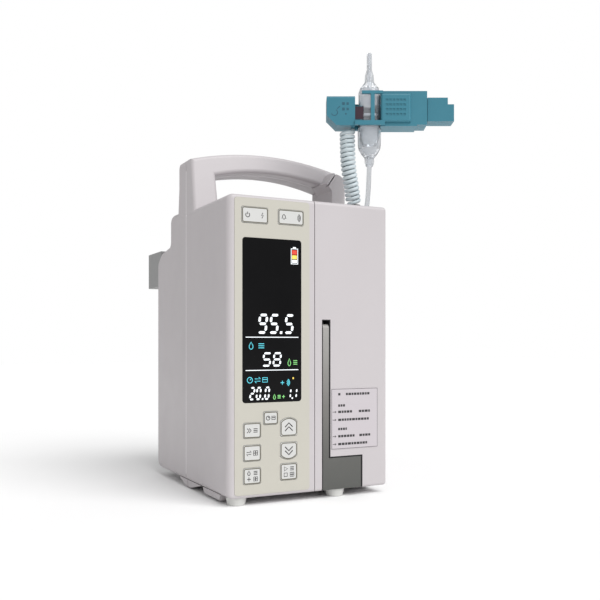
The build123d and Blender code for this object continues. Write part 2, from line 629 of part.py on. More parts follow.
# ---------------------------------------------------------------- tubing set
TUBE_ENTRY = [(CHAMBER_X, CHAMBER_Y, CHAMBER_Z[0] - 7), (62.4, TUBE_Y, 241),
              (TUBE_X, TUBE_Y, 207)]
LINE_Z, UNDER_Z = TUBE_R + 0.2, BASE - TUBE_R - 0.2
LINE_ROUTE = [
    (TUBE_X, TUBE_Y, OUTLET_Z), (TUBE_X, TUBE_Y, UNDER_Z + 2.8),
    (TUBE_X - 0.4, TUBE_Y + 2.8, UNDER_Z), (TUBE_X - 1.6, TUBE_Y + 8, UNDER_Z),
    (49, -55, UNDER_Z), (43, -14, UNDER_Z), (38, 34, UNDER_Z), (40, 78, UNDER_Z),
    (45, 115, LINE_Z), (COIL_X + 26, COIL_Y, LINE_Z),
]
TAIL_ROUTE = [
    (COIL_X - 26, COIL_Y, 10.2), (COIL_X - 25.6, COIL_Y - 9, 9.4), (COIL_X - 25, COIL_Y - 20, 5.4),
    (COIL_X - 24, COIL_Y - 31, 3.7),
]


def infusion_path():
    """From under the drip chamber, through the parting line of the door, to the outlet."""
    return cord_path([*TUBE_ENTRY, (TUBE_X, TUBE_Y, OUTLET_Z)])


def tube_channel():
    """The room that the tube and the start of the free line need."""
    path = cord_path([*TUBE_ENTRY, *LINE_ROUTE[1:5]])
    plane = Plane(origin=path @ 0, z_dir=path % 0)
    return sweep(plane * Circle(CHANNEL_R), path=path)


def drip_chamber():
    """Clear chamber with a domed top, a tapered bottom and a nozzle at each end."""
    z0, z1 = CHAMBER_Z
    r, low_r = CHAMBER_R, CHAMBER_LOW_R
    outer = Polyline((0, z0 - 7), (2.9, z0 - 7), (3.9, z0 - 4), (4.1, z0), (6.6, z0 + 3),
                     (low_r - 0.8, z0 + 7), (low_r, z0 + 11), (low_r, z0 + 24), (r, z0 + 25),
                     (r, z1 - 7), (r - 1.3, z1 - 3), (r - 3.8, z1), (4.1, z1 + 1.5),
                     (3.6, z1 + 8), (2.4, z1 + 12), (0, z1 + 12))
    shape = revolve(make_face(Plane.XZ * outer + Plane.XZ * Line((0, z1 + 12), (0, z0 - 7))), Axis.Z)
    hollow = rod_z(0, 0, z0 + 8, z1 - 4, r - 1.1)
    hollow += Pos(0, 0, z0 + 5.5) * Cone(3.4, r - 2.0, 5)
    hollow += rod_z(0, 0, z0 - 8, z0 + 4, TUBE_R)
    hollow += rod_z(0, 0, z1 - 5, z1 + 13, 1.6)
    return Pos(CHAMBER_X, CHAMBER_Y, 0) * (shape - hollow)


def bag_spike():
    """Hollow spike that goes up into the bag's port."""
    z0 = CHAMBER_Z[1] + 12
    spike = rod_z(0, 0, z0, SPIKE_TOP, 2.15) - rod_z(0, 0, z0 - 1, SPIKE_TOP + 1, 1.1)
    return Pos(CHAMBER_X, CHAMBER_Y, 0) * spike


def infusion_tube():
    return tube(infusion_path(), TUBE_R)


def patient_line():
    """The free line from the pump's outlet to the coil, and its short end beyond the coil."""
    line = tube(cord_path(LINE_ROUTE), TUBE_R)
    tail = tube(cord_path(TAIL_ROUTE), TUBE_R)
    return Compound(children=[line, tail])


def line_coil():
    ring = rod_z(COIL_X, COIL_Y, 0.2, COIL_H, COIL_OUTER)
    ring -= rod_z(COIL_X, COIL_Y, 0, COIL_H + 1, COIL_INNER)
    return fillet(ring.edges(), 1.8)


def luer_connector():
    """Finger-grip connector that ends the patient line, lying beside the coil."""
    x, y, z = TAIL_ROUTE[-1]
    hub = rod_y(x, y - 18, y, z, 3.1) - rod_y(x, y - 19, y - 9, z, 2.2)
    hub += rod_y(x, y - 20, y - 6, z, 1.4)
    for turn in range(0, 360, 60):
        hub += Pos(x, y - 5, z) * Rot(0, turn, 0) * Pos(3.1, 0, 0) * Box(0.8, 9, 0.8)
    return hub


# ---------------------------------------------------------------- drop sensor
SENSOR = Pos(CHAMBER_X, CHAMBER_Y, 0) * Rot(0, 0, SENSOR_TURN)
CHAMBER_CLEARANCE = 0.3
JAW_HALF = 4.1                      # half the width of the sliding jaw and its bar


def chamber_room():
    """The chamber's own form with a small clearance all round."""
    return rod_z(0, 0, 290, 350, CHAMBER_LOW_R + CHAMBER_CLEARANCE)


def sensor_body():
    """Clip-on drop sensor: emitter block, two rails and a sleeve for the sliding jaw."""
    block_left = block(-36.4, -12.8, -11, 9, 305.6, 330.1)
    block_left = chamfer(block_left.edges().filter_by(Axis.Y).group_by(Axis.Z)[0].sort_by(Axis.X)[:1], 8)
    block_left = fillet(block_left.edges().filter_by(Axis.X).group_by(Axis.Z)[-1], 2)
    rails = block(-13, 12, 4.5, 9, 305.8, 310.8) + block(-13, 12, 4.5, 9, 322.5, 327.5)
    rails += block(-13, 12, -12.6, -9.8, 305.6, 309.4)
    emitter = block(-13, -4, -8, 6, 311.3, 322.2)
    sleeve = block(8.7, 47.3, -10.4, 9, 305.0, 334.2)
    sleeve -= block(39, 48, -11, 10, 304.5, 306.2)
    pad = block(8.7, 33.6, -12.6, -10.3, 308.0, 331.8)
    pad = fillet(pad.faces().sort_by(Axis.Y)[0].edges(), 1.6)
    for row in range(4):
        for column in range(6):
            x, z = 13.6 + 2.9 * column, 314.2 + 4.0 * row
            pad -= block(x - 0.95, x + 0.95, -13, -12.1, z - 0.95, z + 0.95)
    clip = block(-7.2, 10.4, -12.6, -10.2, 331.6, 334.0)
    clip += block(0.2, 3.4, -12.6, -10.2, 305.8, 331.7)
    body = block_left + rails + emitter + sleeve + pad + clip
    body -= block(8.0, 50, -JAW_HALF - 0.3, JAW_HALF + 0.3, 311.2, 327.3)
    body -= chamber_room()
    return SENSOR * body


def sensor_slider():
    """Sliding jaw: receiver face at the chamber, a bar through the sleeve, a stepped tail."""
    jaw = block(5, 9.6, -JAW_HALF, JAW_HALF, 311.5, 327.0)
    bar = block(9.5, 48.6, -JAW_HALF, JAW_HALF, 311.5, 327.0)
    tail = block(48.1, 65.1, -7.5, 7.5, 309.8, 329.6) + block(65.0, 70.3, -7.5, 7.5, 309.8, 324.0)
    bar -= block(14, 44, -2.6, 2.6, 315, 323.5)
    slider = jaw + bar + tail
    return SENSOR * (slider - chamber_room())


CURLY_ROUTE = [(47.9, -64.5, 305.7), (48.2, -64.4, 288), (49.8, -63.6, 271),
               (54.6, -61.2, 255), (SOCKET_X, SOCKET_Y, TOP + 4.6)]


def curly_cord():
    return tube(cord_path(CURLY_ROUTE), CURLY_R)


def sensor_plug():
    """Round plug of the sensor's cord, seated in its socket."""
    plug = rod_z(SOCKET_X, SOCKET_Y, TOP - 10.5, TOP + 2.5, 7.4)
    plug += rod_z(SOCKET_X, SOCKET_Y, TOP + 2.4, TOP + 5.5, 5.6)
    for turn in range(0, 360, 30):
        plug -= Pos(SOCKET_X, SOCKET_Y, TOP) * Rot(0, 0, turn) * Pos(7.4, 0, 0) * Cylinder(0.4, 6)
    return plug


# ---------------------------------------------------------------- pole clamp
def clamp_body():
    """C-shaped casting: a fixed jaw with a V face, a back plate and a threaded arm."""
    z0, z1 = CLAMP_Z
    y0, y1 = CLAMP_Y
    x0, x1 = CLAMP_ARM
    frame = block(CLAMP_LEFT, JAW_FACE, y0, y1, z0, z1) + block(CLAMP_LEFT, x1, y0, y0 + 7, z0, z1)
    frame += block(x0, x1, y0, y1 - 4, z0 + 4, z1 - 4)
    frame -= Pos(JAW_FACE, POLE_Y, (z0 + z1) / 2) * Rot(0, 0, 45) * Box(9, 9, z1 - z0 + 2)
    frame = fillet(frame.edges().filter_by(Axis.Z).group_by(Axis.Y)[-1], 3)
    frame += block(-44, 4, REAR, y0 + 1, z0 + 3, REAR_TOP_Z - 5)
    frame -= rod_x(x0 - 1, x1 + 1, POLE_Y, sum(CLAMP_Z) / 2, SCREW_R + RUN_CLEARANCE)
    for x in CLAMP_BOLT_X:
        frame -= rod_y(x, REAR - 1, y0 + 8, 188, 2.0)
    return frame


def clamp_bolts():
    bolts = []
    for x in CLAMP_BOLT_X:
        bolts.append(rod_y(x, REAR - 8, CLAMP_Y[0] + 7, 188, 2.0)
                     + rod_y(x, CLAMP_Y[0] + 7, CLAMP_Y[0] + 9.4, 188, 3.8))
    return Compound(children=bolts)


def clamp_screw():
    """Threaded rod with a lobed knob."""
    z = sum(CLAMP_Z) / 2
    screw = rod_x(-10, 46, POLE_Y, z, SCREW_R)
    knob = rod_x(40, 60, POLE_Y, z, 15)
    for turn in range(0, 360, 45):
        knob -= Pos(50, POLE_Y, z) * Rot(turn, 0, 0) * Pos(0, 17.2, 0) * Rot(0, 90, 0) * Cylinder(4, 22)
    return screw + knob


def clamp_pad():
    """Swivel pad on the screw's end."""
    z = sum(CLAMP_Z) / 2
    pad = block(-16, -10, POLE_Y - 13, POLE_Y + 13, z - 12, z + 12)
    return fillet(pad.edges().filter_by(Axis.X), 4)


# ---------------------------------------------------------------- write every sub-part
def main():
    os.makedirs("parts", exist_ok=True)
    envelope = body_envelope()
    bar = handle()
    made = {
        "front_housing": front_housing(envelope, bar),
        "rear_housing": rear_housing(envelope, bar),
        "door_shell": door_shell(envelope),
    }
    for name, x0, x1, z0, z1, form in KEYS:
        made[name] = key(x0, x1, z0, z1, form)
    makers = (
        rubber_feet, housing_screws, keypad_overlay, display_window, lcd_module, keypad_board,
        lever_tray, latch_lever, latch_bar, latch_keepers, door_liner, platen, platen_springs,
        door_label, hinge_pins, mechanism_plate, shaft_bearings, camshaft, pump_fingers,
        motor_pulley, timing_belt, stepper_motor, bubble_sensor, pressure_sensor, main_board,
        power_board, battery_pack, battery_cover, mains_inlet, sensor_socket, drip_chamber,
        bag_spike, infusion_tube, patient_line, line_coil, luer_connector, sensor_body,
        sensor_slider, curly_cord, sensor_plug, clamp_body, clamp_bolts, clamp_screw, clamp_pad,
    )
    for maker in makers:
        print(maker.__name__)
        made[maker.__name__] = maker()
    made["cam_pulley"] = toothed_pulley(TUBE_X, CAM_Y, CAM_PULLEY_R, SHAFT_R, 28)
    made["lever_pin"] = rod_x(DOOR_LEFT + 4, LEVER[1] + 2.6, LEVER_PIVOT_Y, LEVER_PIVOT_Z, HINGE_PIN_R)
    for name, shape in made.items():
        keep(name, shape)
    print(len(made), "sub-parts")


main()
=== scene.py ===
import json
from math import asin, atan2, cos, pi, radians, sin
from random import Random

import bmesh
import bpy
from mathutils import Matrix, Vector


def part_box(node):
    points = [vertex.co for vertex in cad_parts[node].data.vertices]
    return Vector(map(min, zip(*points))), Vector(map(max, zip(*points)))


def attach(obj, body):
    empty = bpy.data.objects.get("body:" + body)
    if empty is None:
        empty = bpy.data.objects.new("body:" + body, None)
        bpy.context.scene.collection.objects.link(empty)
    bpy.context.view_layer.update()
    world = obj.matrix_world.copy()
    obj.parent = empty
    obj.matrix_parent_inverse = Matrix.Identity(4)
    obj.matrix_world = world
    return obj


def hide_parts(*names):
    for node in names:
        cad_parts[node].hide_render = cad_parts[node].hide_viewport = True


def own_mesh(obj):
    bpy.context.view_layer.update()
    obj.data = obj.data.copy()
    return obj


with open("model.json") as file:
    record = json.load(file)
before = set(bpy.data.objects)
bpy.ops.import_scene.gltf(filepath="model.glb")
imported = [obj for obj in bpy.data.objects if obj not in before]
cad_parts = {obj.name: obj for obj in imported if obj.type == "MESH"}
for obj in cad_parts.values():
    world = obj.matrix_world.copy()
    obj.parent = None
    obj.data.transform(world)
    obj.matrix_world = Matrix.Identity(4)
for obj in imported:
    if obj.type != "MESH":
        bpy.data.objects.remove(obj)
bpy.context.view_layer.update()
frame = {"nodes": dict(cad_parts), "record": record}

NODES = frame["nodes"]
MM = 0.001


# ---------------------------------------------------------------- places taken from the frame
def corners(node):
    """Lowest and highest corner of a CAD node, in metres."""
    lo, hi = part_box(node)
    return Vector(lo), Vector(hi)


BODY_LO, BODY_HI = corners("front_housing")
BASE_Z = corners("door_shell")[0].z
SEAM_Y = corners("rear_housing")[0].y
WINDOW_FACE_Y = corners("display_window")[0].y
COIL_LO, COIL_HI = corners("line_coil")
CHAMBER_LO, CHAMBER_HI = corners("drip_chamber")
CHAMBER_AXIS = ((CHAMBER_LO.x + CHAMBER_HI.x) / 2, (CHAMBER_LO.y + CHAMBER_HI.y) / 2)


# ---------------------------------------------------------------- camera
# level, standing to the left of the part; the lens shift moves the view up without a tilt
CAMERA_AT = Vector((-0.292, -0.641, 0.1246))
CAMERA_TURN = radians(-27.1)
LENS, SHIFT_UP = 47.34, 0.0707


def make_camera():
    """The camera that the picture is taken with."""
    data = bpy.data.cameras.new("camera")
    data.lens = LENS
    data.shift_y = SHIFT_UP
    camera = bpy.data.objects.new("camera", data)
    bpy.context.scene.collection.objects.link(camera)
    camera.location = CAMERA_AT
    camera.rotation_euler = (pi / 2, 0, CAMERA_TURN)
    bpy.context.scene.camera = camera


make_camera()


# ---------------------------------------------------------------- material helpers
LOW, HIGH = 0.3, 0.7                # noise mostly lies between these


def new_material(name):
    """A new material with its node tree and its main shader."""
    material = bpy.data.materials.new(name)
    material.use_nodes = True
    tree = material.node_tree
    shader = tree.nodes["Principled BSDF"]
    return material, tree, shader


def add(tree, kind, **values):
    """A node with its properties and inputs set by name."""
    node = tree.nodes.new(kind)
    for key, value in values.items():
        if key in node.inputs:
            node.inputs[key].default_value = value
        else:
            setattr(node, key, value)
    return node


def noise(tree, scale, detail=2.0, roughness=0.5, stretch=(1, 1, 1)):
    """Noise in the object's own coordinates; scale is in cycles per metre."""
    place = add(tree, "ShaderNodeTexCoord")
    mapping = add(tree, "ShaderNodeMapping")
    mapping.inputs["Scale"].default_value = stretch
    texture = add(tree, "ShaderNodeTexNoise", Scale=scale, Detail=detail, Roughness=roughness)
    tree.links.new(place.outputs["Object"], mapping.inputs["Vector"])
    tree.links.new(mapping.outputs["Vector"], texture.inputs["Vector"])
    return texture.outputs["Fac"]


def ramp(tree, value, stops):
    """A colour ramp; stops are (position, colour)."""
    node = add(tree, "ShaderNodeValToRGB")
    elements = node.color_ramp.elements
    for element, (place, colour) in zip(elements, stops):
        element.position = place
        element.color = (*colour, 1)
    for place, colour in stops[2:]:
        element = elements.new(place)
        element.color = (*colour, 1)
    tree.links.new(value, node.inputs["Fac"])
    return node.outputs["Color"]


def spread(tree, value, low, high):
    """Map noise onto low..high."""
    node = add(tree, "ShaderNodeMapRange")
    limits = {"From Min": LOW, "From Max": HIGH, "To Min": low, "To Max": high}
    for limit, place in limits.items():
        node.inputs[limit].default_value = place
    tree.links.new(value, node.inputs["Value"])
    return node.outputs["Result"]


def bump(tree, shader, heights, distance):
    """Chain bumps from (height output, strength) pairs into the shader's normal."""
    normal = None
    for height, strength in heights:
        node = add(tree, "ShaderNodeBump", Strength=strength, Distance=distance)
        tree.links.new(height, node.inputs["Height"])
        if normal is not None:
            tree.links.new(normal, node.inputs["Normal"])
        normal = node.outputs["Normal"]
    tree.links.new(normal, shader.inputs["Normal"])


def linear(r, g, b):
    """Linear colour from 0..255 display values."""
    def channel(v):
        v /= 255
        return v / 12.92 if v <= 0.04045 else ((v + 0.055) / 1.055) ** 2.4

    return tuple(channel(v) for v in (r, g, b))


def shade(colour, factor):
    """The colour made lighter or darker by a factor."""
    return tuple(min(1.0, c * factor) for c in colour)


# ---------------------------------------------------------------- materials
# depth in metres that a bump of full height stands for
PLASTIC_GRAIN, METAL_GRAIN, TUBING_GRAIN = 0.00012, 0.00008, 0.0001


def moulded(name, colour, rough=0.42, grain=0.12, grain_scale=2400, vary=0.03, specular=0.45):
    """Moulded plastic: fine spark-eroded grain, faint flow marks, uneven sheen."""
    material, tree, shader = new_material(name)
    flow = noise(tree, 9, 3, 0.6, (1, 1, 0.4))
    colours = ramp(tree, flow, [(LOW, shade(colour, 1 - vary)), (HIGH, shade(colour, 1 + vary))])
    tree.links.new(colours, shader.inputs["Base Color"])
    smudge = noise(tree, 55, 4, 0.65)
    tree.links.new(spread(tree, smudge, rough - 0.05, rough + 0.06), shader.inputs["Roughness"])
    shader.inputs["Specular IOR Level"].default_value = specular
    fine = noise(tree, grain_scale, 2)
    bump(tree, shader, [(fine, grain), (noise(tree, 160, 2), grain * 0.3)], PLASTIC_GRAIN)
    return material


# share of the lever's height, and its colour there; painted shade, darker at the foot and lighter up
# the bar, where light from above falls on it
LEVER_PAINTED_SHADE = [(0.02, linear(80, 81, 78)), (0.2, linear(88, 88, 85)),
                (0.5, linear(114, 112, 109)), (0.96, linear(154, 152, 149))]


def painted_shade_lever(name):
    """Grey latch lever with painted shade: lighter along its bar than on its foot, as the light from
    above falls on it.
    """
    material, tree, shader = new_material(name)
    place = add(tree, "ShaderNodeTexCoord")
    split = add(tree, "ShaderNodeSeparateXYZ")
    tree.links.new(place.outputs["Generated"], split.inputs["Vector"])
    height = add(tree, "ShaderNodeMath")
    tree.links.new(split.outputs["Z"], height.inputs[0])
    tree.links.new(spread(tree, noise(tree, 60, 3), -0.02, 0.02), height.inputs[1])
    tree.links.new(ramp(tree, height.outputs["Value"], LEVER_PAINTED_SHADE), shader.inputs["Base Color"])
    tree.links.new(spread(tree, noise(tree, 55, 4, 0.65), 0.36, 0.46), shader.inputs["Roughness"])
    bump(tree, shader, [(noise(tree, 2200, 2), 0.12)], PLASTIC_GRAIN)
    return material


def metal(name, colour, rough=0.3, brush=(1, 1, 1), scale=1800, grain=0.2):
    """Metal with a brushed, turned or cast surface."""
    material, tree, shader = new_material(name)
    shader.inputs["Metallic"].default_value = 1.0
    streak = noise(tree, scale, 4, 0.6, brush)
    tint = ramp(tree, streak, [(LOW, shade(colour, 0.9)), (HIGH, shade(colour, 1.06))])
    tree.links.new(tint, shader.inputs["Base Color"])
    tree.links.new(spread(tree, streak, rough - 0.08, rough + 0.1), shader.inputs["Roughness"])
    bump(tree, shader, [(streak, grain)], METAL_GRAIN)
    return material


def clear_polymer(name, colour, rough, solid):
    """Soft clear plastic or fluid: mostly see-through, a little milky."""
    material, tree, shader = new_material(name)
    haze = noise(tree, 140, 3)
    colours = ramp(tree, haze, [(LOW, shade(colour, 0.97)), (HIGH, shade(colour, 1.03))])
    tree.links.new(colours, shader.inputs["Base Color"])
    tree.links.new(spread(tree, noise(tree, 420, 3), rough - 0.04, rough + 0.08),
                   shader.inputs["Roughness"])
    shader.inputs["Transmission Weight"].default_value = 1 - solid
    shader.inputs["IOR"].default_value = 1.33
    bump(tree, shader, [(noise(tree, 900, 2), 0.08)], TUBING_GRAIN)
    return material


def glow(name, colour, strength):
    """Lit display segment, a little uneven like a real backlight."""
    material, tree, shader = new_material(name)
    shader.inputs["Base Color"].default_value = (*shade(colour, 0.3), 1)
    uneven = ramp(tree, noise(tree, 700, 2), [(LOW, shade(colour, 0.88)), (HIGH, colour)])
    tree.links.new(uneven, shader.inputs["Emission Color"])
    shader.inputs["Emission Strength"].default_value = strength
    return material


def ink(name, colour):
    """Screen-printed ink."""
    material, tree, shader = new_material(name)
    patchy = ramp(tree, noise(tree, 1500, 3), [(LOW, shade(colour, 0.85)), (HIGH, shade(colour, 1.2))])
    tree.links.new(patchy, shader.inputs["Base Color"])
    shader.inputs["Roughness"].default_value = 0.55
    return material


M = {
    "housing": moulded("housing_plastic", linear(188, 183, 185)),
    "membrane": moulded("membrane_film", linear(187, 184, 174), 0.5, 0.10, 3200, 0.02),
    "key": moulded("key_pad", linear(200, 200, 198), 0.4, 0.08, 3200, 0.015),
    "display": moulded("display_black", (0.004, 0.004, 0.0045), 0.16, 0.01, 900, 0.3, 0.12),
    # painted shade: the lever's colour is darker towards its foot and lighter up its bar
    "lever": painted_shade_lever("lever_grey_painted_shade"),
    "dark_plastic": moulded("dark_plastic", linear(38, 38, 40), 0.5, 0.2, 1800, 0.1),
    "inner_plastic": moulded("inner_plastic", linear(182, 183, 185), 0.5, 0.15),
    "label": moulded("label_film", linear(190, 184, 188), 0.45, 0.05, 3000, 0.02),
    "rubber": moulded("clear_rubber", linear(205, 205, 202), 0.35, 0.15, 1500, 0.03),
    "black_rubber": moulded("black_rubber", linear(34, 34, 34), 0.7, 0.4, 1200, 0.15, 0.3),
    "steel": metal("bright_steel", linear(190, 190, 192), 0.25, (1, 1, 6)),
    "spring_steel": metal("spring_steel", linear(165, 165, 170), 0.3),
    "cast": metal("cast_alloy", linear(178, 180, 184), 0.45, (1, 1, 1), 700, 0.5),
    "clamp": moulded("clamp_grey", linear(146, 146, 146), 0.5, 0.35, 900, 0.04),
    "acetal": moulded("acetal", linear(232, 228, 218), 0.3, 0.08),
    "circuit": moulded("circuit_board", linear(22, 84, 58), 0.35, 0.2, 700, 0.2),
    "cell": moulded("cell_wrap", linear(60, 84, 130), 0.3, 0.1, 500, 0.1),
    "teal": moulded("teal_plastic", linear(55, 121, 139), 0.38, 0.15, 2200, 0.05),
    # partly painted shade: this dark colour is the emitter's window and also lines the cavity behind
    # the chamber
    "window": moulded("infrared_window_and_cavity_shade", linear(66, 48, 58), 0.2, 0.03, 900, 0.08),
    "clear": clear_polymer("clear_polymer", (0.91, 0.93, 0.96), 0.08, 0.16),
    "curly": moulded("cord_jacket", linear(199, 210, 214), 0.42, 0.1, 1500, 0.03),
    "fluid": clear_polymer("saline", (0.90, 0.94, 0.97), 0.05, 0.12),
    # painted highlight: a near-white strip stands in for the light caught along the side's parting line
    "painted_highlight": moulded("seam_highlight", linear(240, 236, 239), 0.4, 0.05),
    "teal_ink": ink("teal_ink", linear(30, 78, 96)),
    "olive_ink": ink("olive_ink", linear(92, 88, 72)),
    "dark_ink": ink("dark_ink", linear(48, 46, 48)),
    "white_glow": glow("white_glow", (0.92, 0.97, 1.0), 1.1),
    "cyan_glow": glow("cyan_glow", (0.12, 0.72, 0.86), 0.9),
    "green_glow": glow("green_glow", (0.25, 0.72, 0.22), 0.9),
    "red_glow": glow("red_glow", (0.75, 0.06, 0.03), 0.9),
    "yellow_glow": glow("yellow_glow", (0.95, 0.70, 0.12), 1.0),
}


# ---------------------------------------------------------------- mesh helpers
def link(name, mesh, body, slot, *materials):
    """A new piece that rides on a body, with the given materials; the slot is not used."""
    piece = bpy.data.objects.new(name, mesh)
    bpy.context.scene.collection.objects.link(piece)
    for material in materials:
        piece.data.materials.append(M[material])
    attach(piece, body)
    return piece


def smooth(piece, angle=radians(35)):
    """Shade smooth, keeping edges sharper than the angle."""
    mesh = piece.data
    mesh.polygons.foreach_set("use_smooth", [True] * len(mesh.polygons))
    mesh.set_sharp_from_angle(angle=angle)


def extrude_outline(bm, outline, y_front, thickness):
    """Add a plate whose front outline is a list of (x, z), facing -Y."""
    front = [bm.verts.new((x, y_front, z)) for x, z in outline]
    back = [bm.verts.new((x, y_front + thickness, z)) for x, z in outline]
    bm.faces.new(front)
    bm.faces.new(back[::-1])
    count = len(outline)
    for i in range(count):
        j = (i + 1) % count
        bm.faces.new((front[j], front[i], back[i], back[j]))


def box_between(bm, lo, hi):
    """Add a box between its lowest and highest corners."""
    xs, ys, zs = zip(lo, hi)
    v = [bm.verts.new((x, y, z)) for x in xs for y in ys for z in zs]
    for loop in ((0, 1, 3, 2), (4, 6, 7, 5), (0, 4, 5, 1), (2, 3, 7, 6), (0, 2, 6, 4), (1, 5, 7, 3)):
        bm.faces.new([v[i] for i in loop])


def rounded_rectangle(x0, x1, z0, z1, r, steps=5):
    """Anticlockwise outline of a rectangle with round corners."""
    points = []
    for cx, cz, start in ((x1 - r, z1 - r, 0), (x0 + r, z1 - r, 90),
                          (x0 + r, z0 + r, 180), (x1 - r, z0 + r, 270)):
        for i in range(steps + 1):
            a = radians(start + 90 * i / steps)
            points.append((cx + r * cos(a), cz + r * sin(a)))
    return points


def finish_bmesh(bm, name):
    """Turn a bmesh into a mesh whose faces look outwards."""
    bmesh.ops.recalc_face_normals(bm, faces=bm.faces)
    mesh = bpy.data.meshes.new(name)
    bm.to_mesh(mesh)
    bm.free()
    return mesh


# ---------------------------------------------------------------- cords
TUBE_R = 0.002
CURLY_WIRE_R, CURLY_COIL_R, CURLY_PITCH = 0.0016, 0.0051, 0.00360
CURLY_STEPS = 14                             # points in a turn
CURLY_BEND_R, CURLY_END_STEPS = 0.0035, 3    # bend at each end, and its points
CURLY_ROUTE = [(0.0479, -0.0645, 0.3057), (0.0482, -0.0644, 0.288), (0.0498, -0.0636, 0.271),
               (0.0546, -0.0612, 0.255), (0.0582, -0.0582, 0.2416)]
LINE_ROUTE = [
    (0.054, -0.074, 0.0110), (0.054, -0.074, 0.0069), (0.0536, -0.0712, 0.0041),
    (0.0524, -0.066, 0.0041), (0.049, -0.055, 0.0041), (0.043, -0.014, 0.0041),
    (0.038, 0.034, 0.0041), (0.040, 0.078, 0.0041), (0.045, 0.115, 0.0022),
    (0.046, 0.150, 0.0022),
]
TAIL_ROUTE = [(-0.006, 0.150, 0.0102), (-0.0056, 0.141, 0.0094), (-0.005, 0.130, 0.0054),
              (-0.004, 0.119, 0.0037)]
# the put-away coil: radii of its turns, layers, points in a turn, height over the floor, and the
# share of a turn after which the line steps over to the next one
WIND_INNER_R, WIND_OUTER_R, WIND_LAYERS, WIND_STEPS = 0.018, 0.026, 3, 16
WIND_LIFT, WIND_CROSS = 0.0002, 0.72


def nurbs(name, points, radius, resolution=12):
    """A smooth cord whose control points are the route's own points."""
    data = bpy.data.curves.new(name, "CURVE")
    data.dimensions = "3D"
    data.bevel_depth = radius
    data.bevel_resolution = 4
    data.use_fill_caps = True
    data.resolution_u = resolution
    spline = data.splines.new("NURBS")
    spline.points.add(len(points) - 1)
    for target, point in zip(spline.points, points):
        target.co = (*point, 1)
    spline.order_u = 3
    spline.use_endpoint_u = True
    return data


def centre_line(points):
    """Points along a route's smooth spline."""
    data = nurbs("route", points, 0.0, 16)
    probe = bpy.data.objects.new("route", data)
    mesh = bpy.data.meshes.new_from_object(probe)
    line = [v.co.copy() for v in mesh.vertices]
    bpy.data.objects.remove(probe)
    bpy.data.meshes.remove(mesh)
    bpy.data.curves.remove(data)
    return line


def along(line, distance):
    """(point, direction) at a distance along a polyline."""
    for a, b in zip(line, line[1:]):
        step = (b - a).length
        if distance <= step and step > 0:
            return a.lerp(b, distance / step), (b - a).normalized()
        distance -= step
    return line[-1].copy(), (line[-1] - line[-2]).normalized()


def line_length(line):
    """Length of a polyline."""
    return sum((b - a).length for a, b in zip(line, line[1:]))


def curly_points():
    """Helix round the curly cord's route; each end bends over into line with the route."""
    line = centre_line(CURLY_ROUTE)
    total = line_length(line)
    steep = atan2(2 * pi * CURLY_COIL_R, CURLY_PITCH)
    bend = []
    for i in range(CURLY_END_STEPS + 1):
        t = steep * i / CURLY_END_STEPS
        bend.append((CURLY_BEND_R * sin(t), CURLY_BEND_R * (1 - cos(t)) / CURLY_COIL_R))
    lead, swing = bend[-1]
    turns = (total - 2 * lead) / CURLY_PITCH
    count = int(turns * CURLY_STEPS)
    stations = list(bend)
    for i in range(1, count):
        share = i / count
        stations.append((lead + share * (total - 2 * lead), swing + 2 * pi * turns * share))
    last = 2 * swing + 2 * pi * turns
    stations += [(total - place, last - angle) for place, angle in reversed(bend)]
    side = Vector((1, 0, 0))
    points = []
    for place, angle in stations:
        centre, forward = along(line, place)
        side = (side - forward * side.dot(forward)).normalized()
        other = forward.cross(side)
        points.append(centre + (side * cos(angle) + other * sin(angle)) * CURLY_COIL_R)
    return points


def make_curly_cord():
    """The sensor's curly cord, from the sensor down to its plug."""
    points = curly_points()
    data = nurbs("curly_lead", points, CURLY_WIRE_R, 4)
    piece = link("curly_lead", data, "pump_body", "curly", "curly")
    length = line_length(centre_line(points))
    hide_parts("curly_cord")


def coil_points():
    """Turns of the put-away line: three layers, each wound out and back in."""
    centre = Vector(((COIL_LO.x + COIL_HI.x) / 2, (COIL_LO.y + COIL_HI.y) / 2, 0))
    step = 2 * TUBE_R
    columns = [WIND_OUTER_R, WIND_OUTER_R - step, WIND_INNER_R]
    turn_radii = []
    heights = []
    for layer in range(WIND_LAYERS):
        order = columns if layer % 2 == 0 else columns[::-1]
        for r in order:
            turn_radii.append(r)
            heights.append(TUBE_R + WIND_LIFT + layer * step)
    points = []
    turns = len(turn_radii) - 0.5
    count = int(turns * WIND_STEPS)
    for i in range(1, count + 1):
        t = i / WIND_STEPS
        turn = int(t)
        share = t - turn
        blend = min(1.0, max(0.0, (share - WIND_CROSS) / (1 - WIND_CROSS)))
        ahead = min(turn + 1, len(turn_radii) - 1)
        r = turn_radii[turn] * (1 - blend) + turn_radii[ahead] * blend
        z = heights[turn] * (1 - blend) + heights[ahead] * blend
        a = 2 * pi * t
        points.append(centre + Vector((r * cos(a), r * sin(a), z)))
    return points


def make_patient_line():
    """The line below the pump: back between the skids, wound up, and out to its connector."""
    points = [Vector(p) for p in LINE_ROUTE] + coil_points() + [Vector(p) for p in TAIL_ROUTE]
    data = nurbs("patient_tubing", points, TUBE_R, 8)
    piece = link("patient_tubing", data, "pump_body", "clear", "clear")
    length = line_length(centre_line(points))
    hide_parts("patient_line", "line_coil")


make_curly_cord()
make_patient_line()


# ---------------------------------------------------------------- carried-over CAD nodes
def dress_cad_nodes():
    """Give every CAD node its slot's material."""
    slots = {row["node"]: row["material_slot"] for row in frame["record"]["subparts"]}
    for name, node in NODES.items():
        node.data.materials.clear()
        node.data.materials.append(M[slots[name]])


dress_cad_nodes()


# ---------------------------------------------------------------- strokes, icons and digits
PRINT_T = 0.00006                   # thickness of a printed or lit mark


